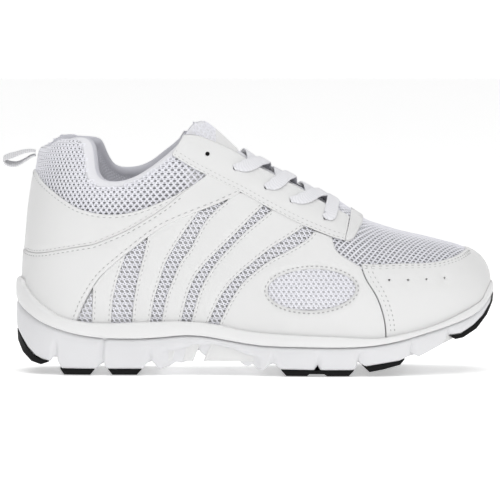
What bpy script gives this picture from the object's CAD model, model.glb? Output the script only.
import math

import bpy
import numpy as np
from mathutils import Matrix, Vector
from mathutils.geometry import delaunay_2d_cdt


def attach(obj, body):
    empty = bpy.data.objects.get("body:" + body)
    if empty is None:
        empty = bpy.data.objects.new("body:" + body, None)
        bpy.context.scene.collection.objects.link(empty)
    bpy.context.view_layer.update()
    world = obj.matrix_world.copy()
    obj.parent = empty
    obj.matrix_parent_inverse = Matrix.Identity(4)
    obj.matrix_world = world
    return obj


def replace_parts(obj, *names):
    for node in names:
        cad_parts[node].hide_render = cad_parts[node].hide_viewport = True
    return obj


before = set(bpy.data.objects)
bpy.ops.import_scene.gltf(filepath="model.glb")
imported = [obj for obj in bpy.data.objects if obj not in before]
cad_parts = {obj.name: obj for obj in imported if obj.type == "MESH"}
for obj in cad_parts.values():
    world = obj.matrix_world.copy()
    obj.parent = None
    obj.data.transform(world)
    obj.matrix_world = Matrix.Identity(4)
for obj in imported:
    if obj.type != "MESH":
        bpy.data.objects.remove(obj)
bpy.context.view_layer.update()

# The shape functions work in millimetres, with X from the heel. MM turns them into metres, and HEEL_BACK moves
# them to the frame's origin, under the ball of the foot.
MM = 0.001
HEEL_BACK = -165.0
STITCH = 2.8
# The rim covers seams and windows below this height
RIM_COVERS = 24

# ---------------------------------------------------------------- camera
EYE_HEIGHT_DEG = 4.0
EYE_DISTANCE = 8.0
PICTURE_WIDTH = 0.2925
AIM = Vector((-0.0278, -0.03, 0.0725))
camera = bpy.data.objects.new("camera", bpy.data.cameras.new("camera"))
bpy.context.scene.collection.objects.link(camera)
tilt = math.radians(EYE_HEIGHT_DEG)
camera.location = AIM + Vector((0, -math.cos(tilt), math.sin(tilt))) * EYE_DISTANCE
camera.rotation_euler = (AIM - camera.location).to_track_quat("-Z", "Y").to_euler()
camera.data.sensor_width = 36.0
camera.data.lens = 36.0 * EYE_DISTANCE / PICTURE_WIDTH
bpy.context.scene.camera = camera

# ---------------------------------------------------------------- the form of the upper, as in the CAD source
HEEL_X, TOE_X = 5.0, 277.5
# The outline curves in to the heel behind HEEL_CURVE and to the toe in front of TOE_CURVE
HEEL_CURVE, TOE_CURVE, NOSE_CURVE = 45.0, 185.0, 250.0
SIDE_POWER, TOE_POWER, NOSE_POWER = 2.2, 2.3, 3.4
SOLE_BACK_X, SOLE_FRONT_X, SOLE_SPREAD = 0.6, 279.4, 3.8
CREST = [(-10, 205), (30, 200), (60, 188), (85, 171), (98, 158), (104, 151.5), (110, 146), (116, 142),
         (123, 138), (134, 131.5), (141, 126.5), (150, 121.5), (160, 116), (174, 108.5), (185, 102),
         (190, 99), (198, 93.5), (205.5, 88.3), (212, 85.8), (225, 81.8), (239, 78.6), (253, 75.1),
         (263, 72.6), (285, 67)]
WIDEST = [(-10, 54), (20, 52), (60, 46), (100, 42), (140, 39), (180, 36), (210, 36), (240, 38),
          (262, 42), (285, 46)]
OUTER_HALF = [(-10, 35), (40, 35), (70, 35.5), (100, 36.5), (130, 40), (160, 45), (185, 47.5), (205, 47),
              (225, 46), (250, 45), (285, 45)]
INNER_HALF = [(-10, 34), (40, 33.5), (70, 31.5), (100, 30), (130, 31.5), (160, 38), (185, 42.5),
              (205, 44), (225, 44.5), (250, 45), (285, 45)]
SHIFT = [(-10, 0), (120, 0), (180, 0.5), (230, 3), (285, 6)]
LEAN = [(-20, 0), (54, 0), (67, 0.6), (81, 2), (95, 3.4), (109, 5.8), (118, 7.8), (127, 10), (137, 12.5),
        (170, 22)]
BOARD_LINE = [(-20, 24), (20, 24), (60, 22.5), (100, 20.5), (140, 17.5), (180, 15.5), (205, 16),
              (225, 18.5), (245, 23.5), (262, 30), (290, 42)]
FOOTBED_TOP = [(-20, 41), (20, 40), (60, 38), (100, 34), (140, 29.5), (170, 27), (200, 25.5), (225, 27),
               (245, 31), (262, 37), (290, 48)]


def along(table, x):
    """A smooth curve through a table of (x, value) points."""
    points = np.array(table, float)
    xs, vs = points[:, 0], points[:, 1]
    x = np.clip(np.asarray(x, float), xs[0], xs[-1])
    slopes = np.empty(len(xs))
    slopes[1:-1] = (vs[2:] - vs[:-2]) / (xs[2:] - xs[:-2])
    slopes[0] = (vs[1] - vs[0]) / (xs[1] - xs[0])
    slopes[-1] = (vs[-1] - vs[-2]) / (xs[-1] - xs[-2])
    i = np.clip(np.searchsorted(xs, x, side="left") - 1, 0, len(xs) - 2)
    h = xs[i + 1] - xs[i]
    t = (x - xs[i]) / h
    value = (2 * t**3 - 3 * t**2 + 1) * vs[i] + (3 * t**2 - 2 * t**3) * vs[i + 1]
    return value + (t**3 - 2 * t**2 + t) * h * slopes[i] + (t**3 - t**2) * h * slopes[i + 1]


def rounding(u, power):
    return np.maximum(0.0, 1.0 - np.maximum(0.0, u) ** power) ** (1.0 / power)


def heel_reach(x, z, off):
    fade = np.maximum(0.0, 1.0 - np.maximum(0.0, x) / 120.0) ** 2
    return (HEEL_CURVE - (x - along(LEAN, z) * fade)) / (HEEL_CURVE - HEEL_X + off)


def crest(x, off):
    low = along(WIDEST, x)
    nose = rounding((x - NOSE_CURVE) / (TOE_X + off - NOSE_CURVE), NOSE_POWER)
    return low + (along(CREST, x) + off - low) * nose


def side_half(x, side):
    return np.where(np.asarray(side) < 0, along(OUTER_HALF, x), along(INNER_HALF, x))


def plan_half(x, z, off, side):
    toe = rounding((x - TOE_CURVE) / (TOE_X + off - TOE_CURVE), TOE_POWER)
    return (side_half(x, side) + off) * rounding(heel_reach(x, z, off), SIDE_POWER) * toe


def half_width(x, z, off, side):
    low = along(WIDEST, x)
    rise = (z - low) / np.maximum(crest(x, off) - low, 1e-6)
    return plan_half(x, z, off, side) * rounding(rise, SIDE_POWER)


def height_over(x, y, off):
    """How high the surface is over a place near the crest."""
    across = y - along(SHIFT, x)
    low = along(WIDEST, x)
    wide = plan_half(x, low, off, np.sign(across))
    rise = rounding(np.minimum(np.abs(across) / np.maximum(wide, 1e-6), 1.0), SIDE_POWER)
    return low + rise * (crest(x, off) - low)


def heel_back(z, off):
    x = np.full(np.shape(z), HEEL_X - off, float)
    for _ in range(12):
        x = HEEL_X - off + along(LEAN, z) * np.maximum(0.0, 1.0 - np.maximum(0.0, x) / 120.0) ** 2
    return x


def crest_front(z, off):
    """The X at which the crest comes down to a height, over the toe."""
    near = np.full(np.shape(z), 190.0)
    far = np.full(np.shape(z), TOE_X + off)
    for _ in range(40):
        middle = (near + far) / 2
        above = (crest(middle, off) > z) | (z < along(WIDEST, middle))
        near = np.where(above, middle, near)
        far = np.where(above, far, middle)
    return near


class Side:
    """Flat coordinates (x, z) on one side of the shoe."""

    def __init__(self, side):
        self.side = side

    def find(self, x, z, side):
        return np.stack([x, z], 1)

    def place(self, uv, off):
        x, z = uv[:, 0], uv[:, 1]
        y = along(SHIFT, x) + self.side * half_width(x, z, off, self.side)
        return np.stack([x, y, z], 1)


class Wrap:
    """Coordinates (round the heel or the toe, z). The outer side is negative."""

    def __init__(self, end, span, reach):
        self.end, self.span, self.reach = end, span, reach

    def find(self, x, z, side):
        end = self.end(z, 0.0)
        turn = np.arccos(np.clip(1 - 2 * (x - end) / (self.reach - end), -1, 1))
        return np.stack([side * turn * self.span, z], 1)

    def place(self, uv, off):
        z = uv[:, 1]
        side = np.where(uv[:, 0] < 0, -1.0, 1.0)
        end = self.end(z, off)
        x = end + (self.reach - end) * (1 - np.cos(uv[:, 0] / self.span)) / 2
        y = along(SHIFT, x) + side * half_width(x, z, off, side)
        return np.stack([x, np.where(np.abs(uv[:, 0]) < 1e-6, along(SHIFT, x), y), z], 1)


class Top:
    """Coordinates (x, y), seen from above the crest."""

    def find(self, x, z, side):
        return np.stack([x, along(SHIFT, x) + side * half_width(x, z, 0.0, side)], 1)

    def place(self, uv, off):
        return np.stack([uv[:, 0], uv[:, 1], height_over(uv[:, 0], uv[:, 1], off)], 1)


class Girth:
    """Coordinates (x, distance round the upper from its crest line), for cloth that goes over the forefoot."""

    START, STEP, FINE = 150.0, 1.5, 0.5

    def __init__(self):
        xs = np.arange(self.START, TOE_X - 2, self.STEP)
        share = np.sin(np.linspace(0, math.pi / 2, 400))
        self.reach = np.arange(0, 120, self.FINE)
        self.shares = {}
        for side in (-1, 1):
            rows = []
            for x in xs:
                low = along(WIDEST, x)
                y = share * plan_half(x, low, 0.0, side)
                z = rounding(share, SIDE_POWER) * (crest(x, 0.0) - low)
                arc = np.concatenate([[0], np.cumsum(np.hypot(np.diff(y), np.diff(z)))])
                rows.append(np.interp(self.reach, arc, share))
            self.shares[side] = np.array(rows)

    def find(self, x, z, side):
        low = along(WIDEST, x)
        share = rounding((z - low) / np.maximum(crest(x, 0.0) - low, 1e-6), SIDE_POWER)
        found = []
        for px, wanted, way in zip(x, share, np.broadcast_to(side, x.shape)):
            row = self.shares[int(way)][int(np.clip(round((px - self.START) / self.STEP), 0, 83))]
            found.append((px, way * np.interp(wanted, row, self.reach)))
        return np.array(found)

    def place(self, uv, off):
        x, side = uv[:, 0], np.where(uv[:, 1] < 0, -1, 1)
        i = np.clip((x - self.START) / self.STEP, 0, len(self.shares[1]) - 1.001)
        j = np.clip(np.abs(uv[:, 1]) / self.FINE, 0, len(self.reach) - 1.001)
        i0, j0 = i.astype(int), j.astype(int)
        a, b = i - i0, j - j0
        share = np.empty(len(x))
        for way in (-1, 1):
            table, here = self.shares[way], side == way
            p, q, u, v = i0[here], j0[here], a[here], b[here]
            near = table[p, q] * (1 - v) + table[p, q + 1] * v
            far = table[p + 1, q] * (1 - v) + table[p + 1, q + 1] * v
            share[here] = near * (1 - u) + far * u
        low = along(WIDEST, x)
        y = share * plan_half(x, low, off, side)
        rise = rounding(share, SIDE_POWER) * (crest(x, off) - low)
        return np.stack([x, along(SHIFT, x) + side * y, low + rise], 1)


OUTER, INNER = Side(-1), Side(1)
HEEL, TOE = Wrap(heel_back, 65.0, 200.0), Wrap(crest_front, 60.0, 100.0)
TOP, GIRTH = Top(), Girth()


# ---------------------------------------------------------------- materials
def material(name, colour, rough, build=None, **settings):
    mat = bpy.data.materials.new(name)
    mat.use_nodes = True
    mat.diffuse_color = (*colour, 1)
    shader = mat.node_tree.nodes["Principled BSDF"]
    shader.inputs["Base Color"].default_value = (*colour, 1)
    shader.inputs["Roughness"].default_value = rough
    for socket, value in settings.items():
        shader.inputs[socket.replace("_", " ")].default_value = value
    if build:
        build(mat.node_tree, shader)
    return mat


def node(tree, kind, inputs=(), **attributes):
    made = tree.nodes.new(kind)
    for key, value in attributes.items():
        setattr(made, key, value)
    for key, value in dict(inputs).items():
        if isinstance(value, bpy.types.NodeSocket):
            tree.links.new(value, made.inputs[key])
        else:
            made.inputs[key].default_value = value
    return made


def place_in(tree, attribute=None):
    if attribute:
        return node(tree, "ShaderNodeAttribute", attribute_name=attribute).outputs["Vector"]
    return node(tree, "ShaderNodeTexCoord").outputs["Object"]


def tinted(tree, shader, factor, low, high):
    """The base colour goes from low to high with a factor."""
    mix = node(tree, "ShaderNodeMix", data_type="RGBA")
    tree.links.new(factor, mix.inputs["Factor"])
    mix.inputs["A"].default_value = (*low, 1)
    mix.inputs["B"].default_value = (*high, 1)
    tree.links.new(mix.outputs["Result"], shader.inputs["Base Color"])


def bumped(tree, shader, height, distance, strength=1.0, after=None):
    bump = node(tree, "ShaderNodeBump", {"Height": height, "Distance": distance, "Strength": strength})
    if after:
        tree.links.new(after.outputs["Normal"], bump.inputs["Normal"])
    tree.links.new(bump.outputs["Normal"], shader.inputs["Normal"])
    return bump


def leather_look(low, high):
    def build(tree, shader):
        where = place_in(tree)
        grain = node(tree, "ShaderNodeTexVoronoi", {"Vector": where, "Scale": 900.0},
                     feature="SMOOTH_F1")
        pores = node(tree, "ShaderNodeTexNoise", {"Vector": where, "Scale": 2600.0, "Detail": 3.0})
        cloud = node(tree, "ShaderNodeTexNoise", {"Vector": where, "Scale": 22.0, "Detail": 4.0})
        tinted(tree, shader, cloud.outputs["Fac"], low, high)
        rough = node(tree, "ShaderNodeMapRange", {"Value": cloud.outputs["Fac"], "To Min": 0.42, "To Max": 0.56})
        tree.links.new(rough.outputs["Result"], shader.inputs["Roughness"])
        soft = bumped(tree, shader, cloud.outputs["Fac"], 0.0006, 0.35)
        first = bumped(tree, shader, grain.outputs["Distance"], 0.00006, 0.5, soft)
        bumped(tree, shader, pores.outputs["Fac"], 0.00003, 0.4, first)
    return build


def fabric_look(low, high, scale, depth, angle=0.0):
    """A close weave: two crossed wave bands under a little fuzz."""
    def build(tree, shader):
        where = place_in(tree, "weave")
        turned = node(tree, "ShaderNodeMapping", {"Vector": where, "Rotation": (0, 0, angle)})
        warp = node(tree, "ShaderNodeTexWave", {"Vector": turned.outputs["Vector"], "Scale": scale},
                    bands_direction="X")
        weft = node(tree, "ShaderNodeTexWave", {"Vector": turned.outputs["Vector"], "Scale": scale},
                    bands_direction="Y")
        both = node(tree, "ShaderNodeMath", {0: warp.outputs["Fac"], 1: weft.outputs["Fac"]},
                    operation="MULTIPLY")
        tinted(tree, shader, both.outputs["Value"], low, high)
        fuzz = node(tree, "ShaderNodeTexNoise", {"Vector": place_in(tree), "Scale": 3000.0, "Detail": 2.0})
        first = bumped(tree, shader, both.outputs["Value"], depth, 0.8)
        bumped(tree, shader, fuzz.outputs["Fac"], 0.00005, 0.5, first)
    return build


def foam_look(low, high, speck=1400.0):
    def build(tree, shader):
        where = place_in(tree)
        cloud = node(tree, "ShaderNodeTexNoise", {"Vector": where, "Scale": 30.0, "Detail": 3.0})
        skin = node(tree, "ShaderNodeTexNoise", {"Vector": where, "Scale": speck, "Detail": 3.0})
        tinted(tree, shader, cloud.outputs["Fac"], low, high)
        bumped(tree, shader, skin.outputs["Fac"], 0.00006, 0.6)
    return build


def braid_look(low, high, pitch):
    """Slanting plaits along a tape, mirrored about its middle. The weave attribute runs along X, in metres."""
    def build(tree, shader):
        where = place_in(tree, "weave")
        split = node(tree, "ShaderNodeSeparateXYZ", {"Vector": where})
        across = node(tree, "ShaderNodeMath", {0: split.outputs["Y"]}, operation="ABSOLUTE")
        slanted = node(tree, "ShaderNodeMath", {0: split.outputs["X"], 1: across.outputs["Value"]})
        turns = node(tree, "ShaderNodeMath", {0: slanted.outputs["Value"], 1: 2 * math.pi / pitch},
                     operation="MULTIPLY")
        wave = node(tree, "ShaderNodeMath", {0: turns.outputs["Value"]}, operation="SINE")
        rows = node(tree, "ShaderNodeMath", {0: across.outputs["Value"], 1: 2 * math.pi / (pitch * 0.8)},
                    operation="MULTIPLY")
        cross = node(tree, "ShaderNodeMath", {0: rows.outputs["Value"]}, operation="COSINE")
        both = node(tree, "ShaderNodeMath", {0: wave.outputs["Value"], 1: cross.outputs["Value"], 2: 0.0},
                    operation="MULTIPLY_ADD")
        level = node(tree, "ShaderNodeMapRange", {"Value": both.outputs["Value"], "From Min": -1.0})
        tinted(tree, shader, level.outputs["Result"], low, high)
        bumped(tree, shader, level.outputs["Result"], 0.00025, 0.8)
    return build


WHITE = (0.86, 0.86, 0.86)
LEATHER = material("white_leather", WHITE, 0.48, leather_look((0.725, 0.725, 0.723), (0.775, 0.775, 0.773)))
MESH = material("net_yarn", (0.85, 0.85, 0.9), 0.7, foam_look((0.80, 0.80, 0.86), (0.87, 0.87, 0.91), 2500.0),
                Sheen_Weight=0.2)
FINE_MESH = material("fine_mesh", WHITE, 0.75,
                     fabric_look((0.70, 0.70, 0.71), (0.86, 0.86, 0.87), 420.0, 0.00022), Sheen_Weight=0.2)
UNDERLAY = material("underlay", (0.3, 0.3, 0.32), 0.9, foam_look((0.34, 0.34, 0.355), (0.43, 0.43, 0.45)))
PALE_UNDERLAY = material("pale_underlay", (0.42, 0.42, 0.42), 0.9,
                         foam_look((0.5, 0.5, 0.505), (0.6, 0.6, 0.605)))
OVAL_UNDERLAY = material("oval_underlay", (0.7, 0.7, 0.7), 0.9, foam_look((0.6, 0.6, 0.62), (0.68, 0.68, 0.7)))
LINING = material("lining", (0.6, 0.6, 0.64), 0.85,
                  fabric_look((0.60, 0.60, 0.65), (0.76, 0.76, 0.82), 300.0, 0.00025, math.radians(35)),
                  Sheen_Weight=0.25)
COLLAR_EDGE = material("collar_edge", WHITE, 0.8, foam_look((0.74, 0.74, 0.77), (0.79, 0.79, 0.82), 1800.0),
                       Sheen_Weight=0.2)
MIDSOLE = material("midsole_foam", WHITE, 0.5, foam_look((0.70, 0.70, 0.715), (0.75, 0.75, 0.765)))
RIM = material("rim_foam", WHITE, 0.45, foam_look((0.76, 0.76, 0.76), (0.80, 0.80, 0.80), 900.0))
RUBBER = material("black_rubber", (0.015, 0.015, 0.016), 0.6,
                  foam_look((0.004, 0.004, 0.004), (0.010, 0.010, 0.010), 700.0), Specular_IOR_Level=0.12)
LACE = material("lace_braid", WHITE, 0.7, braid_look((0.74, 0.74, 0.77), (0.87, 0.87, 0.90), 0.0016),
                Sheen_Weight=0.3)
WEBBING = material("webbing", WHITE, 0.75, fabric_look((0.66, 0.66, 0.68), (0.86, 0.86, 0.88), 260.0, 0.0003),
                   Sheen_Weight=0.3)
THREAD = material("thread", (0.4, 0.4, 0.4), 0.7, foam_look((0.38, 0.38, 0.38), (0.50, 0.50, 0.50), 4000.0))
DARK = material("eyelet_dark", (0.02, 0.02, 0.02), 0.8, foam_look((0.01, 0.01, 0.01), (0.03, 0.03, 0.03)))
STIFFENER = material("stiffener", (0.7, 0.7, 0.7), 0.6, foam_look((0.6, 0.6, 0.6), (0.7, 0.7, 0.7)))


# ---------------------------------------------------------------- mesh helpers
def to_frame(points):
    return (np.asarray(points, float) + [HEEL_BACK, 0, 0]) * MM


def piece(name, points, faces, mat, body="shoe", slot="leather", weave=None, flat=False):
    """A mesh object from points in millimetres. weave gives each point's place on the cloth, in millimetres."""
    mesh = bpy.data.meshes.new(name)
    mesh.from_pydata([tuple(p) for p in to_frame(points)], [], [tuple(int(i) for i in f) for f in faces])
    mesh.validate()
    mesh.materials.append(mat)
    if not flat:
        mesh.shade_smooth()
    layer = mesh.attributes.new("weave", "FLOAT_VECTOR", "POINT")
    if weave is None:
        weave = np.asarray(points)[:, [0, 2]]
    flat_places = np.zeros((len(points), 3))
    flat_places[:, :2] = np.asarray(weave)[:, :2] * MM
    layer.data.foreach_set("vector", flat_places.ravel())
    made = bpy.data.objects.new(name, mesh)
    bpy.context.scene.collection.objects.link(made)
    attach(made, body)
    return made


def grid_faces(rows, columns, wrap_rows=False, wrap_columns=False, flip=False):
    r = np.arange(rows if wrap_rows else rows - 1)
    c = np.arange(columns if wrap_columns else columns - 1)
    a, b = np.meshgrid(r, c, indexing="ij")
    a, b = a.ravel(), b.ravel()
    a1, b1 = (a + 1) % rows, (b + 1) % columns
    quads = np.stack([a * columns + b, a * columns + b1, a1 * columns + b1, a1 * columns + b], 1)
    return quads[:, ::-1] if flip else quads


def curve_through(points, step):
    """Evenly spaced points on a smooth curve through a few, by length."""
    p = np.array(points, float)
    if len(p) == 2:
        t = np.linspace(0, 1, max(2, int(np.linalg.norm(p[1] - p[0]) / step) + 1))
        return p[0] + (p[1] - p[0]) * t[:, None]
    reach = np.concatenate([[0], np.cumsum(np.linalg.norm(np.diff(p, axis=0), axis=1))])
    fine = np.linspace(0, reach[-1], 40 * len(p))
    dense = np.stack([along(np.stack([reach, p[:, k]], 1), fine) for k in range(p.shape[1])], 1)
    length = np.concatenate([[0], np.cumsum(np.linalg.norm(np.diff(dense, axis=0), axis=1))])
    at = np.linspace(0, length[-1], max(2, int(length[-1] / step) + 1))
    return np.stack([np.interp(at, length, dense[:, k]) for k in range(p.shape[1])], 1)


def outline(runs, step=1.6):
    """A closed outline, as points in order, from smooth runs that follow one another."""
    points = []
    for i, run in enumerate(runs):
        nearby = runs[(i + 1) % len(runs)][0]
        points.extend(curve_through(run, step)[:-1])
        if np.linalg.norm(np.array(nearby) - run[-1]) > 0.02:
            points.extend(curve_through([run[-1], nearby], step)[:-1])
    return np.array(points)


def inside(points, ring):
    x, y = points[:, 0][:, None], points[:, 1][:, None]
    x0, y0 = ring[:, 0][None], ring[:, 1][None]
    x1, y1 = np.roll(ring[:, 0], -1)[None], np.roll(ring[:, 1], -1)[None]
    crossing = ((y0 > y) != (y1 > y)) & (x < (x1 - x0) * (y - y0) / (y1 - y0 + 1e-12) + x0)
    return crossing.sum(1) % 2 == 1


def distance_to(points, rings):
    best = np.full(len(points), 1e9)
    for ring in rings:
        a, b = ring, np.roll(ring, -1, axis=0)
        d = b - a
        span = np.maximum((d * d).sum(1), 1e-12)
        for start in range(0, len(points), 2000):
            p = points[start:start + 2000, None]
            t = np.clip(((p - a[None]) * d[None]).sum(2) / span[None], 0, 1)
            gap = np.linalg.norm(p - a[None] - t[..., None] * d[None], axis=2).min(1)
            best[start:start + 2000] = np.minimum(best[start:start + 2000], gap)
    return best


def area_sign(ring):
    x, y = ring[:, 0], ring[:, 1]
    return np.sign((x * np.roll(y, -1) - np.roll(x, -1) * y).sum())


def inset(ring, far):
    """Points that far inside a ring, without those that come too near another stretch of it."""
    ahead = np.roll(ring, -1, axis=0) - np.roll(ring, 1, axis=0)
    ahead /= np.maximum(np.linalg.norm(ahead, axis=1), 1e-9)[:, None]
    inward = np.stack([-ahead[:, 1], ahead[:, 0]], 1) * area_sign(ring)
    moved = ring + inward * far
    return moved[(distance_to(moved, [ring]) > 0.92 * far) & inside(moved, ring)]


def spread_points(ring, spacing, margin, holes):
    low, high = ring.min(0), ring.max(0)
    rows = np.arange(low[1], high[1], spacing * 0.866)
    points = []
    for k, v in enumerate(rows):
        u = np.arange(low[0] + (k % 2) * spacing / 2, high[0], spacing)
        points.append(np.stack([u, np.full(len(u), v)], 1))
    points = np.concatenate(points)
    points = points[inside(points, ring)]
    return points[distance_to(points, [ring] + holes) > margin]


# How far a panel's edge rolls down, at distances in from the edge
EDGE_ROLL = ((0.0, -0.55), (0.25, -0.22), (0.6, -0.04), (1.0, 0.0))
SEAM_DEPTH, SEAM_HALF = 0.22, 0.45


def panel(name, domain, ring, low, high, mat, spacing=3.0, holes=(), seams=(), rise=None, **how):
    """A cut panel with rolled edges. seams are distances in from the edge where stitching pulls it down."""
    holes = [np.array(h) for h in holes]
    rings = [inset(ring, d) for d, _ in EDGE_ROLL[1:]]
    for seam in seams:
        rings += [inset(ring, seam - 0.5), inset(ring, seam), inset(ring, seam + 0.5)]
    far = max([1.0] + [s + 0.5 for s in seams])
    extra = []
    for hole in holes:
        middle = hole.mean(0)
        extra += [middle + (hole - middle) * k for k in (1.35, 1.9)]
    inner = spread_points(ring, spacing, far + 0.45 * spacing, holes)
    loose = [inner] + rings + extra
    bound = [ring] + holes
    points = np.concatenate(bound + loose)
    edges, start = [], 0
    for loop in bound:
        edges += [(start + i, start + (i + 1) % len(loop)) for i in range(len(loop))]
        start += len(loop)
    made = delaunay_2d_cdt([Vector(p) for p in points], edges, [], 0, 1e-5)
    flat = np.array([tuple(v) for v in made[0]])
    faces = np.array([f for f in made[2] if len(f) == 3])
    middles = flat[faces].mean(1)
    keep = inside(middles, ring)
    for hole in holes:
        keep &= ~inside(middles, hole)
    faces = faces[keep]
    used = np.unique(faces)
    index = np.full(len(flat), -1)
    index[used] = np.arange(len(used))
    flat, faces = flat[used], index[faces]
    a, b, c = flat[faces[:, 0]], flat[faces[:, 1]], flat[faces[:, 2]]
    turn = (b[:, 0] - a[:, 0]) * (c[:, 1] - a[:, 1]) - (b[:, 1] - a[:, 1]) * (c[:, 0] - a[:, 0])
    faces[turn < 0] = faces[turn < 0][:, ::-1]
    gap = distance_to(flat, bound)
    drop = np.interp(gap, *zip(*EDGE_ROLL))
    for seam in seams:
        drop -= SEAM_DEPTH * np.exp(-((gap - seam) / SEAM_HALF) ** 2)
    ground = rise(flat) if rise else np.zeros(len(flat))
    over = domain.place(flat, ground + high + drop)
    under = domain.place(flat, ground + low)
    uses = {}
    for f in faces:
        for i in range(3):
            uses[(f[i], f[(i + 1) % 3])] = 1
    rim = [(p, q) for p, q in uses if (q, p) not in uses]
    n = len(flat)
    walls = [(q, p, p + n, q + n) for p, q in rim]
    everything = [tuple(f) for f in faces] + [tuple(f + n)[::-1] for f in faces] + walls
    if not facing_out(faces, over, under):
        everything = [f[::-1] for f in everything]
    return piece(name, np.concatenate([over, under]), everything, mat, weave=np.concatenate([flat, flat]), **how)


def facing_out(faces, over, under):
    """Whether most faces of a layer turn away from the layer under it."""
    a, b, c = over[faces[:, 0]], over[faces[:, 1]], over[faces[:, 2]]
    return (np.cross(b - a, c - a) * (over - under)[faces[:, 0]]).sum() > 0


stitch_batches = {}


def stitches(batch, domain, line, off, pitch=STITCH, length=1.5, width=0.7, high=0.32):
    """Short raised threads along a line in flat coordinates."""
    line = np.asarray(line, float)
    reach = np.concatenate([[0], np.cumsum(np.linalg.norm(np.diff(line, axis=0), axis=1))])
    count = int(reach[-1] / pitch)
    if count < 1:
        return
    for k in range(count):
        middle = (k + 0.5) * reach[-1] / count
        ends = [np.array([np.interp(middle + s * length / 2, reach, line[:, j]) for j in (0, 1)])
                for s in (-1, 1)]
        ahead = ends[1] - ends[0]
        size = np.linalg.norm(ahead)
        if size < length * 0.5 or size > length * 1.4:
            continue
        across = np.array([-ahead[1], ahead[0]]) / size * width / 2
        flat, lift = [], []
        for t, wide, up in ((0.0, 0.35, 0.0), (0.22, 1.0, 0.75), (0.78, 1.0, 0.75), (1.0, 0.35, 0.0)):
            centre = ends[0] + ahead * t
            for s, h in ((-1, 0.0), (0, 1.0), (1, 0.0)):
                flat.append(centre + across * wide * s)
                lift.append(off + high * up * h - (0.1 if h == 0 else 0))
        stitch_batches.setdefault(batch, []).append(domain.place(np.array(flat), np.array(lift)))


def sew(batch, slot="leather"):
    """One object for all the stitches of a batch."""
    blocks = stitch_batches.pop(batch, [])
    points = np.concatenate(blocks)
    quads = grid_faces(4, 3)
    faces = np.concatenate([quads + 12 * k for k in range(len(blocks))])
    return piece(batch, points, faces, THREAD, slot=slot)


# ---------------------------------------------------------------- panel outlines, as (x, z) seen from the side
PANEL_TOP = [(5, 118.3), (11, 118.3), (16.4, 111.6), (28.5, 102.2), (38, 96.8), (48, 94.2), (58, 93.5),
             (68, 94.8), (78.2, 97.9), (90.4, 103), (103.5, 110.4), (111.7, 115.9)]
HEEL_SEAM = [(5.8, 71.4), (11, 70.3), (17.8, 70.8), (27.2, 72.7), (38, 74.7), (47, 76.3), (57.2, 80.3),
             (66.4, 84.5), (75.6, 89.8), (82.8, 94.3), (90, 99.4), (97, 105.2)]
STRAP_FRONT = [(33, 10), (34, 22), (36.7, 31.7), (40.2, 40.9), (45.2, 50.1), (50.8, 57.9), (61.5, 67.5),
               (68.6, 73.2), (77, 79.9), (86.3, 86.3), (97, 91.3), (107.5, 95.5), (118.2, 99.7),
               (124, 102.3), (132, 105.9)]
EYESTAY_LOW = [(91.4, 128.2), (103.5, 120.7), (112, 116.3), (121.2, 111.6), (132, 106.4), (143, 100.3),
               (153, 95), (165.8, 88.7), (176.4, 84.2), (185.5, 80.7), (192.5, 78.6)]
EYESTAY_FRONT = [(192.5, 78.6), (194.2, 85.5), (195.5, 91.8)]
THROAT = [(195.5, 91.8), (190, 94.8), (181, 99.4), (169, 106.6), (160, 111.4), (148.6, 117.3),
          (141, 121.4), (131, 127.8), (123.4, 132), (112.3, 136.8), (106.6, 138.8), (98.4, 139.5)]
STRIPE_EDGES = [
    ([(45.4, 50), (44.8, 31), (44.8, 8)], [(64.3, 69.4), (61.5, 61.5), (58.6, 51.5), (56.5, 39.5), (55.8, 8)]),
    ([(77.4, 79.6), (74.9, 69.3), (72.1, 58.6), (69.9, 47.3), (68.6, 37.4), (67.6, 8)],
     [(107, 94.8), (100.2, 85.7), (93, 74.6), (87.7, 65), (83.4, 51.5), (80.6, 41.6), (76, 8)]),
    ([(124, 101.7), (118.4, 97.3), (110.6, 88.8), (102.1, 73.2), (96.9, 66.4), (91.3, 53.6), (87.7, 43),
      (82, 8)],
     [(144.8, 98.6), (139.6, 93.7), (131.2, 85.2), (121.2, 75.3), (112, 66.1), (104.4, 55.9), (99.7, 43),
      (92, 8)]),
    ([(149.6, 95.9), (142.4, 90.2), (135.4, 84.5), (124.8, 73.9), (115.5, 62.9), (106.8, 45.9), (98, 8)],
     [(168.7, 86.6), (158.8, 80.3), (149.6, 74.6), (138.9, 66.1), (131.2, 59.4), (124.8, 52.5),
      (118.1, 42.4), (104, 8)]),
]
STRIPE_TOPS = [
    [(45.3, 51), (51, 58.6), (61.5, 68.1), (64.4, 70.4)],
    [(77.4, 80.7), (86.3, 86.9), (97, 91.9), (107.2, 95.9)],
    [(124.2, 102.6), (131.8, 106.1), (137, 104), (145, 99.6)],
    [(149.8, 97), (153, 95.3), (160, 91.8), (168.9, 87.7)],
]
SIDE_PANEL_BACK = [(175.1, 84.2), (170.8, 79.6), (160.2, 73.2), (149.6, 67.6), (140.7, 61.1),
                   (132.5, 53.4), (128.9, 48.5), (123.5, 39.1), (110, 8)]
SIDE_PANEL_FRONT = [(217, 8), (216.4, 21.9), (215.7, 30.8), (213.7, 38.9), (210.4, 47), (205, 55.7),
                    (201.8, 63.4)]
SIDE_PANEL_TOP = [(201.8, 63.4), (198.3, 65.3), (192.9, 68.6), (187.5, 73.2), (185, 80.6)]
CAP_REAR = [(217.2, 8), (216.6, 21.9), (215.9, 30.8), (213.9, 38.9), (210.6, 47), (205.2, 55.7),
            (202.1, 63.6), (202.3, 65.1)]
CAP_TOP = [(202.3, 65.1), (211.7, 64.6), (225.2, 64.8), (235.2, 64.6), (245.3, 65.1), (252, 66.4),
           (258.7, 68.6), (263.4, 71.3)]
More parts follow.
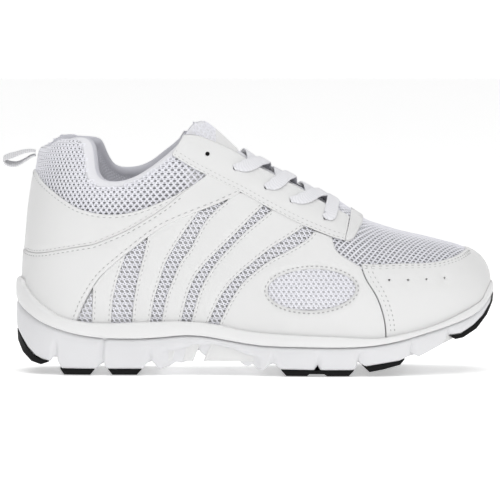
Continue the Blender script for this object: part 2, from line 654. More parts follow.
TAB_REAR = [(192.9, 77.6), (194.9, 85.5), (196.2, 92), (196.4, 93.6)]
TAB_FRONT = [(203.6, 89.4), (203.1, 87.2), (201, 84), (198.6, 80), (196, 77.9), (192.9, 77.6)]
OVAL_CENTRE, OVAL_SEMI, OVAL_TILT = (173.2, 50.3), (25.7, 12.0), math.radians(2)
EYELETS = [(112.3, 128.4), (128.6, 120.2), (146.8, 109.1), (161.8, 101.5), (181.3, 91.5)]
CAP_PERFORATIONS = [(218.1, 55.6), (229.1, 55.4), (239.8, 55.6), (250.4, 56)]
OVAL_PITCH = (2.9, 2.3)


def circle(middle, radius, count=14):
    turn = np.arange(count) * 2 * math.pi / count
    return np.stack([middle[0] + radius * np.cos(turn), middle[1] + radius * np.sin(turn)], 1)


def oval(grow, count=72):
    turn = np.arange(count) * 2 * math.pi / count
    u, v = (OVAL_SEMI[0] + grow) * np.cos(turn), (OVAL_SEMI[1] + grow) * np.sin(turn)
    cos, sin = math.cos(OVAL_TILT), math.sin(OVAL_TILT)
    return np.stack([OVAL_CENTRE[0] + u * cos - v * sin, OVAL_CENTRE[1] + u * sin + v * cos], 1)


def beside(run, far):
    """A run moved sideways, to its left going along it."""
    line = curve_through(run, 1.2)
    ahead = np.gradient(line, axis=0)
    ahead /= np.linalg.norm(ahead, axis=1)[:, None]
    return line + np.stack([-ahead[:, 1], ahead[:, 0]], 1) * far


def on_domain(domain, line, side):
    return domain.find(line[:, 0], line[:, 1], np.full(len(line), float(side)))


def above(line, z):
    return line[line[:, 1] > z]


# ---------------------------------------------------------------- nets
def net(name, domain, centres, pitch, hole, low, high, slant=0.0, sizes=1.0, power=2.0, rise=None, **how):
    """A knitted net: one ring of yarn round each hole. hole is its two half sizes and slant its turn, sizes a
    scale, power 1 for a diamond and 2 for an oval, and rise the surface under it."""
    count = 12
    around = np.arange(count) * 2 * math.pi / count
    unit = np.stack([np.cos(around), np.sin(around)], 1)
    unit /= (np.abs(unit) ** power).sum(1)[:, None] ** (1 / power)
    turns, sizes = np.broadcast_to(slant, len(centres)), np.broadcast_to(sizes, len(centres))
    square = np.abs(unit)
    border = unit / np.maximum(square[:, 0] / (pitch[0] / 2), square[:, 1] / (pitch[1] / 2))[:, None]
    steps = ((1.0, 0.0), (0.55, 0.28), (0.15, 0.12), (0.0, -0.35))
    flats, lifts = [], []
    for centre, turn, size in zip(centres, turns, sizes):
        cos, sin = math.cos(turn), math.sin(turn)
        shape = unit * hole * size
        shape = np.stack([shape[:, 0] * cos - shape[:, 1] * sin, shape[:, 0] * sin + shape[:, 1] * cos], 1)
        for share, lift in steps:
            flats.append(centre + border * share + shape * (1 - share))
            lifts.append(np.full(count, lift))
    flat = np.concatenate(flats)
    lift = np.concatenate(lifts)
    quads = grid_faces(len(steps), count, wrap_columns=True)
    faces = np.concatenate([quads + len(steps) * count * k for k in range(len(centres))])
    ground = rise(flat) if rise else 0.0
    points = domain.place(flat, ground + high + lift * (high - low))
    if not facing_out(faces, points, domain.place(flat, np.full(len(flat), low - 1.0))):
        faces = faces[:, ::-1]
    return piece(name, points, faces, MESH, weave=flat, **how)


def lattice(ring, pitch, stagger, beyond):
    """Centres of a net's cells over a ring. stagger is how far each second row is moved along."""
    low, high = ring.min(0) - beyond, ring.max(0) + beyond
    cells = []
    for j, v in enumerate(np.arange(low[1], high[1], pitch[1])):
        for u in np.arange(low[0] + stagger * (j % 2) * pitch[0], high[0], pitch[0]):
            cells.append((u, v))
    cells = np.array(cells)
    return cells[inside(cells, ring) | (distance_to(cells, [ring]) < beyond)]


# ---------------------------------------------------------------- leather panels
for side, word, flat in ((-1, "lateral", OUTER), (1, "medial", INNER)):
    threads = "stitching_" + word
    for k, (back, front) in enumerate(STRIPE_EDGES):
        ring = outline([STRIPE_TOPS[k], front, [front[-1], back[-1]], back[::-1]])
        made = panel("stripe_%d_%s_skin" % (k + 1, word), flat, ring, 0.0, 1.4, LEATHER, seams=(1.5,))
        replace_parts(made, "stripe_%d_%s" % (k + 1, word))
        for edge, sign in ((back, 1), (front, -1)):
            stitches(threads, flat, above(beside(edge, 1.5 * sign), RIM_COVERS), 1.2)
    holes = [circle(EYELETS[0], 1.3)] + [circle(place, 1.2) for place in EYELETS[1:]]
    ring = outline([EYESTAY_LOW, EYESTAY_FRONT, THROAT, [(98.4, 139.5), (91.4, 128.2)]])
    made = panel("eyestay_%s_skin" % word, flat, ring, -0.5, 2.2, LEATHER, holes=holes, seams=(1.2, 3.4),
                 spacing=2.6)
    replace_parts(made, "eyestay_" + word)
    for far in (1.2, 3.4):
        stitches(threads, flat, beside(EYESTAY_LOW, far), 2.0, width=0.5, high=0.2)
    ring = outline([SIDE_PANEL_BACK, [(110, 8), (217, 8)], SIDE_PANEL_FRONT, SIDE_PANEL_TOP,
                    [(185, 80.6), (180, 82.4), (175.1, 84.2)]])
    made = panel("side_panel_%s_skin" % word, flat, ring, 0.0, 1.5, LEATHER, holes=[oval(0.0)], seams=(1.5,))
    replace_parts(made, "side_panel_" + word)
    stitches(threads, flat, above(beside(SIDE_PANEL_BACK, 1.5), RIM_COVERS), 1.3)
    ring_line = oval(1.7)
    stitches(threads, flat, np.concatenate([ring_line, ring_line[:1]]), 1.35)
    panel("oval_%s_underlay" % word, flat, oval(0.6), -0.5, -0.15, OVAL_UNDERLAY, spacing=3.0, slot="fine_mesh")
    cells = lattice(oval(0.0), OVAL_PITCH, 0.5, 0.7)
    made = net("oval_net_" + word, flat, cells, OVAL_PITCH, (0.95, 0.72), 0.0, 0.45, -0.2, power=1.3,
               slot="fine_mesh")
    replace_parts(made, "oval_mesh_" + word)

STRAP_END = [(132.4, 107.2), (121.8, 112.4), (112.2, 117.2)]
STRAP_NOTCH = [(112.2, 117.2), (111, 115.2), (107, 112.6), (103.6, 109.9)]
strap_seam = [(103.6, 109.9)] + [(x, z - 0.1) for x, z in HEEL_SEAM[::-1]]
half = np.concatenate([curve_through(STRAP_FRONT, 1.6)[:-1], curve_through(STRAP_END, 1.6)[:-1],
                       curve_through(STRAP_NOTCH, 1.6)[:-1], curve_through(strap_seam, 1.6)])
base = curve_through([(33, 10), (20, 10), (7, 10)], 1.6)
strap_ring = np.concatenate([on_domain(HEEL, half, -1), on_domain(HEEL, half, 1)[::-1][1:],
                             on_domain(HEEL, base, 1)[1:-1], on_domain(HEEL, base, -1)[::-1]])[:-1]
heel_strap = panel("heel_strap_skin", HEEL, strap_ring, -0.3, 1.9, LEATHER, seams=(1.7,), spacing=3.4)
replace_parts(heel_strap, "heel_strap")
half = curve_through([(104, 110.1)] + HEEL_SEAM[::-1], 1.6)
top = curve_through([(104.4, 110.7)] + PANEL_TOP[-3::-1], 1.6)
heel_ring = np.concatenate([on_domain(HEEL, top, -1), on_domain(HEEL, top, 1)[::-1][1:],
                            on_domain(HEEL, half, 1), on_domain(HEEL, half, -1)[::-1][1:]])
heel_panel = panel("heel_panel_skin", HEEL, heel_ring, 0.0, 1.5, LEATHER, seams=(1.7,), spacing=3.4)
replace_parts(heel_panel, "heel_panel")
for side, word in ((-1, "lateral"), (1, "medial")):
    for line, off in ((beside(PANEL_TOP[:-2], -1.7), 1.3), (beside(HEEL_SEAM, 1.3), 1.3),
                      (beside(STRAP_FRONT, 1.8), 1.75), (beside(HEEL_SEAM, -1.8), 1.75)):
        line = line[line[:, 0] > 6.5]
        stitches("stitching_" + word, HEEL, on_domain(HEEL, above(line, RIM_COVERS), side), off)

cap_holes = []
for side in (-1, 1):
    for x, z in CAP_PERFORATIONS:
        middle = TOE.find(np.array([x]), np.array([z]), np.array([side]))[0]
        cap_holes.append(circle(middle, 0.55, 10))
half = np.concatenate([curve_through(CAP_REAR, 1.6)[:-1], curve_through(CAP_TOP, 1.6)])
low = curve_through([(217.2, 8), (240, 14), (258, 22), (270, 30), (277, 36)], 1.6)
cap_ring = np.concatenate([on_domain(TOE, half, -1), [[0.0, 72.4]], on_domain(TOE, half, 1)[::-1],
                           on_domain(TOE, low, 1)[1:], on_domain(TOE, low, -1)[::-1][:-1]])
toe_cap = panel("toe_cap_skin", TOE, cap_ring, 0.0, 1.35, LEATHER, holes=cap_holes, seams=(1.2, 3.1), spacing=3.4)
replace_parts(toe_cap, "toe_cap")
for side, word in ((-1, "lateral"), (1, "medial")):
    for far in (0.9, 2.4):
        stitches("stitching_" + word, TOE, on_domain(TOE, beside(CAP_TOP, -far), side), 1.15, length=1.7)
    for far in (2.3, 4.6):
        stitches("stitching_" + word, TOE, on_domain(TOE, above(beside(CAP_REAR, -far), RIM_COVERS), side), 1.15)

rear = curve_through(TAB_REAR, 1.6)
front = curve_through(TAB_FRONT, 1.6)
tab_ring = np.concatenate([on_domain(TOP, rear, -1), on_domain(TOP, rear, 1)[::-1],
                           on_domain(TOP, front, 1)[::-1][1:], on_domain(TOP, front, -1)[:-1]])
tab = panel("throat_tab_skin", TOP, tab_ring, 0.0, 1.7, LEATHER, seams=(1.4,), spacing=2.6)
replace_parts(tab, "throat_tab")

for word in ("lateral", "medial"):
    sew("stitching_" + word)


VAMP_PITCH = (2.5, 2.24)
vamp_edge = curve_through([(184.5, 84), (186, 77), (190, 69.5), (196, 64), (202, 61.5)]
                          + [(x, z - 1.5) for x, z in CAP_TOP[1:]], 2)
vamp_ring = np.concatenate([on_domain(GIRTH, vamp_edge, -1), on_domain(GIRTH, vamp_edge, 1)[::-1]])
cells = lattice(vamp_ring, VAMP_PITCH, 0.5, 0.3)
slants = np.where(cells[:, 1] < 0, 0.5, -0.5)
vamp = net("vamp_net", GIRTH, cells, VAMP_PITCH, (0.95, 0.72), -0.5, 0.1, slants, slot="open_mesh")
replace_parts(vamp, "vamp_mesh")

WINDOW_PITCH = (3.0, 2.85)
# The first window is behind the first stripe. Each of the others lies between two edges, and has its own foot
# under the rim.
WINDOWS = [[(36.7, 31.7), (34, RIM_COVERS), (44.8, RIM_COVERS), (45.4, 50)]]
WINDOW_FEET = ((55.8, 67.9), (78, 84), (95, 101), (110, 117))
right_edges = [back for back, front in STRIPE_EDGES[1:]] + [SIDE_PANEL_BACK]
for (_, left), right, (foot_left, foot_right) in zip(STRIPE_EDGES, right_edges, WINDOW_FEET):
    WINDOWS.append(left[:-1] + [(foot_left, RIM_COVERS), (foot_right, RIM_COVERS)] + right[-2::-1])

for side, word, flat in ((-1, "lateral", OUTER), (1, "medial", INNER)):
    cells = np.concatenate([lattice(np.array(ring, float), WINDOW_PITCH, 0.5, 1.0) for ring in WINDOWS])
    made = net("window_net_" + word, flat, cells, WINDOW_PITCH, (1.3, 0.85), -0.6, 0.1, -0.5, power=1.5,
               slot="fine_mesh")
    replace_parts(made, "quarter_mesh_" + word)


# ---------------------------------------------------------------- midsole and rim
RIM_TOP = [(0.6, 55), (3, 53.9), (3.7, 51.2), (7.7, 45.9), (12.4, 41.5), (19, 37.2), (24.5, 34.2), (33.9, 31.8),
           (47, 30.3), (78, 31), (96, 31.4), (115, 30), (132, 26.6), (145, 25), (165, 23.8), (190, 22.8),
           (211.7, 21.8), (225, 23.7), (238.6, 26.6), (252, 31), (262, 35.5), (269, 39.1), (274.2, 42.8),
           (276.9, 47.9), (279.4, 52.5)]
GROOVE = [(0, 44.8), (1.7, 40.5), (5.7, 36.2), (14.4, 30.4), (24.5, 26.4), (38, 23), (51, 21.4),
          (68, 21), (82, 21.6), (98, 23), (108, 22.7), (118, 21.4), (132, 19), (145, 17.4), (165, 16.8),
          (198, 16.7), (212, 17.7), (225, 20), (238.6, 23.7), (252, 27.6), (264, 31.9), (270.7, 35.6),
          (275.4, 40.4), (279.4, 45.6)]
SOLE_BOTTOM = [(0, 30), (0.6, 25), (3.5, 20), (7, 14.5), (11, 10.5), (15, 8.6), (19.8, 7.6), (21.2, 10.2),
               (22.8, 10.9), (24.2, 7.5), (26.5, 3.6), (46.7, 3.5), (48.7, 6.1), (50, 7.2), (51.4, 6.9),
               (52.7, 3.8), (54, 3.5), (74.2, 3.5), (76.2, 6.9), (79, 8.2), (81.3, 6.1), (83, 3.8),
               (84.5, 3.5), (88.6, 4.9), (92.6, 7.5), (95.9, 6.9), (100.6, 8.2), (104, 12.9), (106, 14.6),
               (108, 12.3), (111.4, 10.4), (114.8, 12), (118, 10.9), (121.4, 9.2), (124.9, 12.3),
               (126.8, 13), (129.6, 9.7), (133, 6.1), (136, 5.2), (138.9, 6.6), (141.6, 3.8), (145.4, 3.3),
               (148.3, 6.1), (150.6, 7.2), (153, 6.1), (155.3, 3.8), (175.8, 3.5), (177, 6.9),
               (178.5, 3.5), (198, 3.5), (200.4, 5.5), (201.3, 9.9), (202, 7), (205, 5.6), (225, 8.6),
               (228, 9.9), (230.6, 11.2), (231.8, 14.6), (232.4, 12.5), (236.6, 10.7), (242.5, 13.6),
               (249, 17), (252.4, 21), (253, 25), (253.6, 22.7), (261, 23.5), (268, 27.8), (273.7, 33.2),
               (278, 39.8), (279.4, 45.5)]
NOTCH_CREASES = [(22.8, 17.5), (50, 24), (78, 14), (105, 16.5), (126, 14.5), (150.6, 12.5), (177, 11),
                 (201.3, 14), (231.8, 20), (253, 27)]
LIP = [(82, 14.5), (94.5, 16.7), (103, 19), (115, 19.6), (126, 17), (135, 13.6), (146, 11.5)]


def ring_round(turn, grow, back, front, spread):
    """An outline in plan. turn goes from 0 at the heel round the outer side to pi at the toe and on."""
    side = np.where(turn <= math.pi, -1.0, 1.0)
    back, front = back - grow, front + grow
    x = back + (front - back) * (1 - np.cos(turn)) / 2
    y = (side_half(x, side) + spread + grow) * rounding((HEEL_CURVE - x) / (HEEL_CURVE - back), SIDE_POWER)
    return x, along(SHIFT, x) + side * y * rounding((x - TOE_CURVE) / (front - TOE_CURVE), TOE_POWER)


def sole_ring(turn, grow):
    return ring_round(turn, grow, SOLE_BACK_X, SOLE_FRONT_X, SOLE_SPREAD)


def upper_ring(turn, off):
    """The upper's outline at the height of the sole."""
    return ring_round(turn, off, HEEL_X, TOE_X, 0.0)


def straight(table, x):
    points = np.array(table, float)
    return np.interp(x, points[:, 0], points[:, 1])


SOLE_COLUMNS = 720
turn = np.arange(SOLE_COLUMNS) * 2 * math.pi / SOLE_COLUMNS
base_x, _ = sole_ring(turn, 0.0)
groove_z = along(GROOVE, base_x)
bottom_z = np.minimum(straight(SOLE_BOTTOM, base_x), groove_z - 0.4)
board_z = along(BOARD_LINE, base_x) - 0.3
rows = []
for share in (0.0, 0.02, 0.06, 0.12, 0.19, 0.26, 0.33, 0.4, 0.47, 0.54, 0.62, 0.7, 0.78, 0.86, 0.92, 0.96, 1.0):
    z = bottom_z + (groove_z - 0.15 - bottom_z) * share
    grow = 0.55 * math.sin(math.pi * share) - 0.9 * (1 - min(1, share / 0.08)) ** 2
    grow -= 2.0 * max(0.0, (share - 0.8) / 0.2) ** 2
    grow = np.full(SOLE_COLUMNS, grow)
    for x0, high in NOTCH_CREASES:
        crease = np.exp(-((base_x - x0 - (z - 10) * 0.08) / 1.3) ** 2)
        grow -= 1.9 * crease * np.clip((high + 3 - z) / 7, 0, 1)
    lip = straight(LIP, base_x)
    sunk = np.clip((lip - z) / 1.5, 0, 1) * np.clip((base_x - 84) / 5, 0, 1) * np.clip((144 - base_x) / 5, 0, 1)
    grow -= 3.2 * sunk
    x, y = sole_ring(turn, grow)
    rows.append(np.stack([x, y, z], 1))
for off, z in ((1.2, groove_z - 0.15), (0.0, np.minimum(board_z, groove_z - 0.3))):
    x, y = upper_ring(turn, off)
    rows.append(np.stack([x, y, z], 1))


def closed_form(name, rows, mat, **how):
    """A solid from closed rows of points, with strips between the two sides over its bottom and its top."""
    count = len(rows[0])
    points = np.concatenate(rows)
    faces = [tuple(f) for f in grid_faces(len(rows), count, wrap_columns=True)]
    for start, flip in ((0, False), (len(points) - count, True)):
        for i in range(count // 2):
            quad = [start + i, start + i + 1, start + (count - i - 1) % count, start + (count - i) % count]
            quad = list(dict.fromkeys(quad))
            faces.append(tuple(quad[::-1] if flip else quad))
    return piece(name, points, faces, mat, **how)


midsole = closed_form("midsole_lower_shape", rows, MIDSOLE, slot="midsole_foam")
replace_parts(midsole, "midsole_lower")

rim_top = along(RIM_TOP, base_x)
rows = []
for share, grow in ((0.0, -0.6), (0.04, 0.3), (0.12, 0.8), (0.4, 0.8), (0.7, 0.7), (0.88, 0.35), (0.96, -0.15),
                    (1.0, -0.9)):
    z = groove_z + 0.1 + (rim_top - groove_z - 0.1) * share
    x, y = sole_ring(turn, grow)
    rows.append(np.stack([x, y, z], 1))
for off, drop in ((2.0, 0.25), (1.3, 0.9)):
    x, y = upper_ring(turn, off)
    rows.append(np.stack([x, y, rim_top - drop], 1))
x, y = upper_ring(turn, 1.0)
rows.append(np.stack([x, y, groove_z + 0.1], 1))
rim = piece("midsole_rim_shape", np.concatenate(rows),
            grid_faces(len(rows), SOLE_COLUMNS, wrap_rows=True, wrap_columns=True), RIM, slot="rim_foam")
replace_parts(rim, "midsole_rim")


# ---------------------------------------------------------------- collar
COLLAR_LOW = [(98.4, 103), (90, 97), (78, 92), (68, 89), (58, 88), (48, 88.5), (38, 91), (28, 96), (16, 104),
              (5, 110)]
ROLL_R, ROLL_MIDDLE = 4.6, -4.7
NET_DEPTH = 0.75
OUTER_TOPLINE = [(31, 138.1), (35, 138.4), (38.6, 138), (41, 136.2), (42.6, 133.2), (43.5, 128), (44.2, 121),
                 (45.5, 116.5), (48.5, 113.7), (52.5, 112.7), (58, 112.8), (64.8, 114.4), (71.5, 117.6),
                 (78.2, 121.8), (85, 127), (90.4, 131.5), (98.4, 139.5)]
INNER_TOPLINE = [(31, 136.6), (35, 136.2), (39, 136), (42.5, 135.6), (45.3, 134.6), (47, 131.8), (48.6, 127.8),
                 (50.5, 124), (53, 120.4), (57, 118.3), (62, 117.8), (68, 118.4), (73, 119.8), (78.7, 123),
                 (85, 128), (90.4, 132.2), (98.4, 139.7)]
HEEL_TOPLINE = [(29, 137.3), (24.5, 137), (21, 135.6), (18.5, 133.2), (17, 132.2)]
halves = []
for front, side in ((OUTER_TOPLINE[::-1], -1), (INNER_TOPLINE[::-1], 1)):
    line = curve_through(front + HEEL_TOPLINE, 1.2)
    line = line[line[:, 0] > heel_back(np.array([132.3]), 0.0)[0] + 0.6]
    halves.append(on_domain(HEEL, line, side))
top_flat = np.concatenate([halves[0], [[0.0, 132.2]], halves[1][::-1]])
low_line = curve_through(COLLAR_LOW, 1.5)
low_flat = on_domain(HEEL, low_line, -1)
low_flat = np.concatenate([low_flat, (low_flat * [-1, 1])[::-1]])


def evenly(line, count):
    reach = np.concatenate([[0], np.cumsum(np.linalg.norm(np.diff(line, axis=0), axis=1))])
    at = np.linspace(0, reach[-1], count)
    return np.stack([np.interp(at, reach, line[:, k]) for k in range(line.shape[1])], 1)


STATIONS = 281
top_flat = evenly(top_flat, STATIONS)
low_flat = evenly(low_flat, STATIONS)
for _ in range(3):
    top_flat[1:-1] = (top_flat[:-2] + 2 * top_flat[1:-1] + top_flat[2:]) / 4
ahead = np.gradient(top_flat, axis=0)
for _ in range(6):
    ahead[1:-1] = (ahead[:-2] + 2 * ahead[1:-1] + ahead[2:]) / 4
ahead /= np.linalg.norm(ahead, axis=1)[:, None]
down = np.stack([ahead[:, 1], -ahead[:, 0]], 1)
station_x = HEEL.place(top_flat, np.zeros(STATIONS))[:, 0]
# The soft edge band is narrow round the heel and about 4 mm wide along the sides
seam_depth = 0.6 + 2.6 * np.clip((station_x - 33) / 9, 0, 1)


def roll_surface(deep):
    """How far out the rolled edge stands, at a distance below its top."""
    share = np.clip((ROLL_R - deep) / ROLL_R, 0, 1)
    return ROLL_MIDDLE + ROLL_R * np.sqrt(1 - share ** 2)


rows = []
for angle in np.linspace(-20, 190, 30):
    turn = math.radians(angle)
    deep = ROLL_R * (1 - math.sin(turn))
    under_net = np.clip((deep - seam_depth) / 0.5, 0, 1) if angle < 90 else 0.0
    rows.append((top_flat + down * deep, ROLL_MIDDLE + ROLL_R * math.cos(turn) - NET_DEPTH * under_net,
                 angle < 70, deep))
first = top_flat + down * 7.0
for share in np.linspace(0.04, 1.0, 16):
    bulge = 1.3 * math.sin(math.pi * share)
    rows.append((first + (low_flat - first) * share, np.full(STATIONS, ROLL_MIDDLE - ROLL_R - 0.15 - bulge),
                 False, 0.0))
first = top_flat + down * 6.6
for share in np.linspace(1.0, 0.0, 14):
    rows.append((first + (low_flat - first) * share, np.full(STATIONS, -0.1 - NET_DEPTH - 0.6 * share),
                 True, 99.0))
flat = np.concatenate([row[0] for row in rows])
off = np.concatenate([np.broadcast_to(row[1], STATIONS) for row in rows])
points = HEEL.place(flat, off)
faces = [tuple(f) for f in grid_faces(len(rows), STATIONS, wrap_rows=True)]
kinds = []
for r, row in enumerate(rows):
    for k in range(STATIONS - 1):
        kinds.append(0 if not row[2] else (2 if row[3] > seam_depth[k] + 1.3 else 1))
for start, flip in ((0, False), (STATIONS - 1, True)):
    end = [start + r * STATIONS for r in range(len(rows))]
    faces.append(tuple(end[::-1] if flip else end))
    kinds.append(0)
weave = np.concatenate([np.stack([np.arange(STATIONS) * 1.2, np.full(STATIONS, 1.3 * r)], 1)
                        for r in range(len(rows))])
collar = piece("collar_padding", points, faces, LINING, slot="lining", weave=weave)
collar.data.materials.append(COLLAR_EDGE)
collar.data.materials.append(UNDERLAY)
collar.data.polygons.foreach_set("material_index", kinds)
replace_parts(collar, "collar_foam", "collar_lining", *[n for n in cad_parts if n.startswith("collar_roll")])

COLLAR_PITCH = (2.65, 2.1)
seam_flat = top_flat + down * (seam_depth[:, None] - 0.15)
corner = on_domain(HEEL, np.array([(104, 137), (110, 126), (116, 115.5), (108, 109)]), -1)
collar_ring = np.concatenate([seam_flat, corner * [-1, 1], low_flat[::-1], corner[::-1]])


def over_roll(flat):
    return roll_surface(distance_to(flat, [top_flat]))


cells = lattice(collar_ring, COLLAR_PITCH, 0.5, 0.15)
depth = distance_to(cells, [top_flat])
sizes = 0.62 + 0.38 * np.clip(depth / 24, 0, 1)
collar_net = net("collar_net", HEEL, cells, COLLAR_PITCH, (1.0, 0.86), -0.75, 0.1, sizes=sizes,
                 power=1.35, rise=over_roll, slot="open_mesh")
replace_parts(collar_net, "collar_mesh")


# ---------------------------------------------------------------- tongue
TONGUE_MIDDLE, TONGUE_HALF_THICK = -8.1, 2.8
TONGUE_TOP, TONGUE_END_X, TONGUE_WIDE = 148.5, 199.0, 23.0
TONGUE_EDGE = [(92, 131), (97, 139.5), (100, 145), (103, 148), (106, 148.8), (140, 149)]


def smooth(u):
    u = np.clip(u, 0.0, 1.0)
    return u * u * (3.0 - 2.0 * u)


def tongue_rise(flat):
    """The padding swells towards the free end, and a little along the whole middle."""
    x, t = flat[:, 0], np.abs(flat[:, 1]) / TONGUE_WIDE
    return 5.3 * smooth((133 - x) / 20) * smooth((0.86 - t) / 0.5) + 0.5 * np.cos(np.minimum(t, 1) * math.pi / 2)


across = np.linspace(-1, 1, 45)
starts = []
for t in across:
    xs = np.linspace(85, 150, 1400)
    flat = np.stack([xs, np.full(len(xs), t * TONGUE_WIDE)], 1)
    high = height_over(xs, flat[:, 1], TONGUE_MIDDLE + TONGUE_HALF_THICK + tongue_rise(flat))
    starts.append(xs[np.argmax(high < np.interp(xs, *np.array(TONGUE_EDGE).T))])
starts = np.maximum(starts, 96.0)
lengths = np.concatenate([1 - np.cos(np.linspace(0, math.pi / 2, 9)), np.linspace(1.06, 24, 70)])
rows = []
for far in lengths * 4.0:
    x = starts + np.minimum(far, 92.0) * (TONGUE_END_X - starts) / 92.0
    rounded = np.sqrt(np.maximum(0.0, 1 - (1 - min(far, 4.0) / 4.0) ** 2))
    edge = (1 - np.abs(across) ** 8) ** 0.5
    y = across * TONGUE_WIDE + along(SHIFT, x)
    rise = tongue_rise(np.stack([x, across * TONGUE_WIDE], 1))
    middle = TONGUE_MIDDLE + rise / 2
    thick = (TONGUE_HALF_THICK + rise / 2) * (0.03 + 0.97 * rounded) * (0.03 + 0.97 * edge)
    rows.append(np.concatenate([np.stack([x, y, height_over(x, y, middle + thick)], 1),
                                np.stack([x, y, height_over(x, y, middle - thick)], 1)[::-1][1:-1]]))
columns = len(rows[0])
points = np.concatenate(rows)
faces = [tuple(f) for f in grid_faces(len(rows), columns, wrap_columns=True)]
faces.append(tuple(range(columns))[::-1])
faces.append(tuple((len(rows) - 1) * columns + i for i in range(columns)))
tongue = piece("tongue_padding", points, faces, COLLAR_EDGE, body="tongue", slot="open_mesh", weave=points[:, :2])
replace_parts(tongue, "tongue_outer", "tongue_foam", "tongue_lining")
TONGUE_PITCH = (2.5, 2.3)
narrow = across * 0.86
tongue_ring = np.concatenate([np.stack([np.interp(narrow, across, starts) + 3.8, narrow * TONGUE_WIDE], 1),
                              [[118.0, 19.5], [118.0, -19.5]]])
cells = lattice(tongue_ring, TONGUE_PITCH, 0.5, 0.0)
net("tongue_net", TOP, cells, TONGUE_PITCH, (0.95, 0.8), -5.5, -4.75, power=1.35, rise=tongue_rise,
    body="tongue", slot="open_mesh")
label_ring = outline([[(117, -16), (130, -16)], [(130, -16), (130, 16)], [(130, 16), (117, 16)],
                      [(117, 16), (117, -16)]])
label = panel("tongue_patch", TOP, label_ring, -5.6, -4.4, LEATHER, seams=(1.5,), rise=tongue_rise, body="tongue",
              slot="label")
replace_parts(label, "tongue_label")


# ---------------------------------------------------------------- lace
# Along each run: how far towards the toe in millimetres, the share of the way across and the distance out.
# The run leaves its eyelet towards the toe, turns over the crest and ends under the stay on the other side.
LACE_RUNS = {
    "upper": ([(0, -0.8), (0.12, 4.5), (0.27, 10), (0.4, 14.5), (0.5, 16), (0.6, 16.4), (0.8, 16.7), (1, 17)],
              [(0, 0), (0.12, 0.02), (0.27, 0.11), (0.4, 0.32), (0.5, 0.5), (0.6, 0.66), (0.8, 0.86), (1, 1)],
              [(0, 2.2), (0.06, 2.9), (0.28, 3.0), (0.42, 0.5), (0.5, 0.0), (0.6, -0.8), (0.78, -4.4), (1, -4.5)]),
    "lower": ([(0, -0.8), (0.12, 3.5), (0.27, 7), (0.4, 8.4), (0.5, 9), (0.6, 10), (0.8, 13), (1, 17)],
              [(0, 0), (0.12, 0.03), (0.27, 0.13), (0.4, 0.34), (0.5, 0.5), (0.6, 0.66), (0.8, 0.86), (1, 1)],
              [(0, 2.2), (0.06, 2.9), (0.26, 3.0), (0.38, -1.2), (0.5, -1.8), (0.6, -2.6), (0.78, -4.4), (1, -4.5)]),
    "bar": ([(0, -0.8), (0.15, 2.6), (0.3, 4.2), (0.5, 4.8), (0.7, 4.2), (0.85, 2.6), (1, -0.8)],
            [(0, 0), (0.15, 0.03), (0.3, 0.17), (0.5, 0.5), (0.7, 0.83), (0.85, 0.97), (1, 1)],
            [(0, 2.2), (0.08, 2.9), (0.26, 3.0), (0.42, 0.6), (0.5, 0.4), (0.58, 0.6), (0.74, 3.0), (0.92, 2.9),
             (1, 2.2)]),
}


LACE_WIDTH, LACE_THICK, LACE_STEPS = 8.0, 1.5, 72


def tape_section(count, squareness):
    """Points round a flat rounded section one unit wide and thick each way."""
    points = []
    for turn in np.arange(count) * 2 * math.pi / count:
        point = zip((math.cos(turn), math.sin(turn)), squareness)
        points.append([math.copysign(abs(value) ** power, value) for value, power in point])
    return points


def tape(name, lines, places, mat, flip=False, **how):
    """A closed tape from lines of points along it, one for each point of its section."""
    count, steps = len(lines), len(lines[0])
    faces = [tuple(f) for f in grid_faces(steps, count, wrap_columns=True, flip=flip)]
    first = tuple(range(count))
    last = tuple((steps - 1) * count + i for i in first)
    faces += [first, last[::-1]] if flip else [first[::-1], last]
    return piece(name, np.stack(lines, 1).reshape(-1, 3), faces, mat, weave=np.stack(places, 1).reshape(-1, 2), **how)


def lace(name, first, second, side, run):
    """A flat braid from one eyelet over the crest to the next eyelet on the other side."""
    steps = LACE_STEPS
    u = np.linspace(0, 1, steps)
    forward, share, out = (along(table, u) for table in LACE_RUNS[run])
    (x0, z0), (x1, z1) = EYELETS[first], EYELETS[second]
    y0 = side * half_width(np.array([x0]), np.array([z0]), 2.2, side)[0]
    y1 = -side * half_width(np.array([x1]), np.array([z1]), 2.2, -side)[0]
    x = x0 + forward * ((x1 - x0) / 17.0 if first != second else 1.0)
    y = y0 + (y1 - y0) * share + along(SHIFT, x)
    middle = np.stack([x, y, height_over(x, y, out)], 1)
    ahead = np.gradient(middle, axis=0)
    ahead /= np.linalg.norm(ahead, axis=1)[:, None]
    dx = np.stack([np.ones(steps), np.zeros(steps), height_over(x + 0.5, y, 0.0) - height_over(x - 0.5, y, 0.0)], 1)
    dy = np.stack([np.zeros(steps), np.ones(steps), height_over(x, y + 0.5, 0.0) - height_over(x, y - 0.5, 0.0)], 1)
    normal = np.cross(dx, dy)
    normal /= np.linalg.norm(normal, axis=1)[:, None]
    wide = np.cross(normal, ahead)
    wide /= np.linalg.norm(wide, axis=1)[:, None]
    up = np.cross(ahead, wide)
    half = LACE_WIDTH / 2 * (0.46 + 0.54 * smooth(np.minimum(u, 1 - u) / 0.16))
    thick = LACE_THICK / 2
    reach = np.concatenate([[0], np.cumsum(np.linalg.norm(np.diff(middle, axis=0), axis=1))])
    rows, places = [], []
    for c, s in tape_section(20, (0.45, 0.8)):
        rows.append(middle + wide * (half * c)[:, None] + up * (thick * s))
        places.append(np.stack([reach, half * c], 1))
    return tape(name, rows, places, LACE, flip=True, slot="lace")


